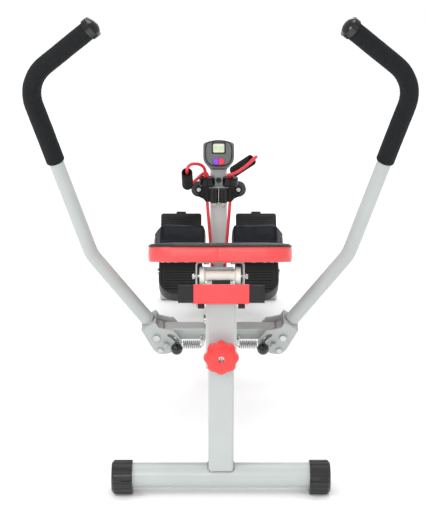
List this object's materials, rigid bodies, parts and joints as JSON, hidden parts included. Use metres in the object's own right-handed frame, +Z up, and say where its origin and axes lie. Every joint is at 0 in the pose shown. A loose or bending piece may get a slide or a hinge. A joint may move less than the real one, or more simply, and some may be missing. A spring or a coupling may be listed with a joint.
{
  "type": "rowing machine",
  "caption": "Folding-arm rowing machine: sloping rail with a rolling seat, swinging handle arms, tilting foot plates with straps, pull bands and a small console.",
  "frame": {"origin": "on the floor under the middle of the machine", "axes": "+Z up, +Y along the rail towards the foot plates and console, +X to the right seen from the rear"},
  "size_m": [0.8242, 1.3723, 0.9106],
  "materials": {
    "silver_paint": "smooth satin silver powder coat",
    "zinc_steel": "bright zinc plate",
    "red_plastic": "moulded coral red plastic, fine satin texture",
    "black_plastic": "moulded black plastic, fine texture",
    "gloss_black": "smooth black plastic",
    "foam": "closed cell foam sleeve, fine pores",
    "black_rubber": "moulded rubber",
    "red_rubber": "elastic red rubber cord",
    "black_vinyl": "grained black vinyl over foam, red piping band",
    "cream_nylon": "turned nylon",
    "grey_plastic": "moulded dark grey plastic",
    "window": "grey green display window",
    "webbing": "woven strap",
    "purple_plastic": "button",
    "button_red": "button",
    "cap_plastic": "light grey moulded end cap",
    "wood_board": "plywood board"
  },
  "bodies": {
    "frame": {"rail": "silver_paint", "rail_brackets": "silver_paint", "swing_hanger": "silver_paint", "rear_sleeve": "silver_paint", "post_bush": "black_plastic", "rail_end_cover": "red_plastic", "rubber_buffers": "black_rubber", "front_stabilizer": "silver_paint", "front_caps": "cap_plastic", "front_post": "silver_paint", "pedal_axle": "zinc_steel", "band_guide": "black_plastic", "console_bracket": "silver_paint", "console_rear": "grey_plastic", "console_front": "grey_plastic", "console_lens": "window", "frame_screws": "zinc_steel"},
    "rear_base": {"rear_stabilizer": "silver_paint", "rear_post": "silver_paint"},
    "rear_cap_left": {"rear_cap_left": "black_plastic"},
    "rear_cap_right": {"rear_cap_right": "black_plastic"},
    "height_knob": {"height_knob": "red_plastic", "height_screw": "zinc_steel"},
    "seat": {"seat_cushion": "black_vinyl", "seat_board": "wood_board", "seat_carriage": "silver_paint", "roller_axles": "zinc_steel"},
    "upper_roller_rear": {"upper_roller_rear": "cream_nylon"},
    "upper_roller_front": {"upper_roller_front": "cream_nylon"},
    "lower_rollers_rear": {"lower_rollers_rear": "cream_nylon"},
    "lower_rollers_front": {"lower_rollers_front": "cream_nylon"},
    "swing": {"crossbar": "silver_paint", "swing_axle": "zinc_steel", "swing_bolts": "zinc_steel"},
    "damper_cylinder": {"damper_cylinder": "gloss_black"},
    "damper_rod": {"damper_rod": "zinc_steel"},
    "arm_left": {"arm_left": "silver_paint", "arm_grip_left": "foam", "arm_plug_left": "black_plastic", "arm_spring_left": "zinc_steel"},
    "latch_left": {"latch_left": "zinc_steel", "latch_knob_left": "gloss_black"},
    "pedal_left": {"pedal_left": "black_plastic", "pedal_strap_left": "webbing"},
    "band_left": {"band_left": "red_rubber", "band_stopper_left": "black_plastic", "band_handle_left": "foam"},
    "button_left": {"button_left": "purple_plastic"},
    "arm_right": {"arm_right": "silver_paint", "arm_grip_right": "foam", "arm_plug_right": "black_plastic", "arm_spring_right": "zinc_steel"},
    "latch_right": {"latch_right": "zinc_steel", "latch_knob_right": "gloss_black"},
    "pedal_right": {"pedal_right": "black_plastic", "pedal_strap_right": "webbing"},
    "band_right": {"band_right": "red_rubber", "band_stopper_right": "black_plastic", "band_handle_right": "foam"},
    "button_right": {"button_right": "button_red"}
  },
  "joints": [
    {"name": "rear_height", "type": "slide", "parent": "frame", "child": "rear_base", "axis": [0, 0, -1], "range_m": [0, 0.06]},
    {"name": "cap_turn_left", "type": "hinge", "parent": "rear_base", "child": "rear_cap_left", "pos_m": [-0.19, -0.61825, 0.037], "axis": [1, 0, 0], "range_deg": [-40, 40]},
    {"name": "cap_turn_right", "type": "hinge", "parent": "rear_base", "child": "rear_cap_right", "pos_m": [0.19, -0.61825, 0.037], "axis": [1, 0, 0], "range_deg": [-40, 40]},
    {"name": "knob_turn", "type": "hinge", "parent": "frame", "child": "height_knob", "pos_m": [0, -0.66325, 0.305], "axis": [0, -1, 0], "range_deg": [-720, 720]},
    {"name": "seat_slide", "type": "slide", "parent": "frame", "child": "seat", "axis": [0, 0.9613, -0.2756], "range_m": [-0.35, 0]},
    {"name": "upper_roll_rear", "type": "hinge", "parent": "seat", "child": "upper_roller_rear", "pos_m": [0, -0.21415, 0.3314], "axis": [1, 0, 0], "continuous": true},
    {"name": "upper_roll_front", "type": "hinge", "parent": "seat", "child": "upper_roller_front", "pos_m": [0, -0.08342, 0.29391], "axis": [1, 0, 0], "continuous": true},
    {"name": "lower_roll_rear", "type": "hinge", "parent": "seat", "child": "lower_rollers_rear", "pos_m": [0, -0.23497, 0.27693], "axis": [1, 0, 0], "continuous": true},
    {"name": "lower_roll_front", "type": "hinge", "parent": "seat", "child": "lower_rollers_front", "pos_m": [0, -0.09463, 0.23669], "axis": [1, 0, 0], "continuous": true},
    {"name": "row_swing", "type": "hinge", "parent": "frame", "child": "swing", "pos_m": [0, -0.12652, 0.20084], "axis": [1, 0, 0], "range_deg": [-45, 0]},
    {"name": "damper_tilt", "type": "hinge", "parent": "frame", "child": "damper_cylinder", "pos_m": [0, -0.50825, 0.33], "axis": [1, 0, 0], "range_deg": [-4, 4]},
    {"name": "damper_stroke", "type": "slide", "parent": "damper_cylinder", "child": "damper_rod", "axis": [0, 0.89, -0.456], "range_m": [-0.06, 0.005]},
    {"name": "arm_fold_left", "type": "hinge", "parent": "swing", "child": "arm_left", "pos_m": [-0.143, -0.11825, 0.172], "axis": [0, 0.9613, 0.2756], "range_deg": [0, 15], "stiffness_Nm_per_rad": 12, "springref_deg": -34.38, "deforming": ["arm_spring_left"]},
    {"name": "latch_turn_left", "type": "hinge", "parent": "arm_left", "child": "latch_left", "pos_m": [-0.135, -0.1086, 0.13836], "axis": [0, -0.9613, -0.2756], "range_deg": [0, 28], "stiffness_Nm_per_rad": 0.4, "springref_deg": -34.38},
    {"name": "foot_tilt_left", "type": "hinge", "parent": "frame", "child": "pedal_left", "pos_m": [-0.1, 0.52333, 0.12066], "axis": [1, 0, 0], "range_deg": [-18, 18]},
    {"name": "band_pull_left", "type": "slide", "parent": "frame", "child": "band_left", "axis": [0, -0.7071, 0.7071], "range_m": [0, 0.25], "stiffness_N_per_m": 60, "springref_m": -0.12, "deforming": ["band_left"]},
    {"name": "press_left", "type": "slide", "parent": "frame", "child": "button_left", "axis": [0, 0.9063, -0.4226], "range_m": [0, 0.0012], "stiffness_N_per_m": 400, "springref_m": -0.001},
    {"name": "arm_fold_right", "type": "hinge", "parent": "swing", "child": "arm_right", "pos_m": [0.143, -0.11825, 0.172], "axis": [0, -0.9613, -0.2756], "range_deg": [0, 15], "stiffness_Nm_per_rad": 12, "springref_deg": -34.38, "deforming": ["arm_spring_right"]},
    {"name": "latch_turn_right", "type": "hinge", "parent": "arm_right", "child": "latch_right", "pos_m": [0.135, -0.1086, 0.13836], "axis": [0, 0.9613, 0.2756], "range_deg": [0, 28], "stiffness_Nm_per_rad": 0.4, "springref_deg": -34.38},
    {"name": "foot_tilt_right", "type": "hinge", "parent": "frame", "child": "pedal_right", "pos_m": [0.1, 0.52333, 0.12066], "axis": [1, 0, 0], "range_deg": [-18, 18]},
    {"name": "band_pull_right", "type": "slide", "parent": "frame", "child": "band_right", "axis": [0, -0.7071, 0.7071], "range_m": [0, 0.25], "stiffness_N_per_m": 60, "springref_m": -0.12, "deforming": ["band_right"]},
    {"name": "press_right", "type": "slide", "parent": "frame", "child": "button_right", "axis": [0, 0.9063, -0.4226], "range_m": [0, 0.0012], "stiffness_N_per_m": 400, "springref_m": -0.001}
  ],
  "couplings": [
    {"joint": "upper_roll_rear", "follows": "seat_slide", "rad_per_m": -86.957},
    {"joint": "upper_roll_front", "follows": "seat_slide", "rad_per_m": -86.957},
    {"joint": "lower_roll_rear", "follows": "seat_slide", "rad_per_m": 90.909},
    {"joint": "lower_roll_front", "follows": "seat_slide", "rad_per_m": 90.909},
    {"joint": "damper_tilt", "follows": "row_swing", "ratio": 0.0807},
    {"joint": "damper_stroke", "follows": "row_swing", "m_per_rad": 0.0712}
  ]
}
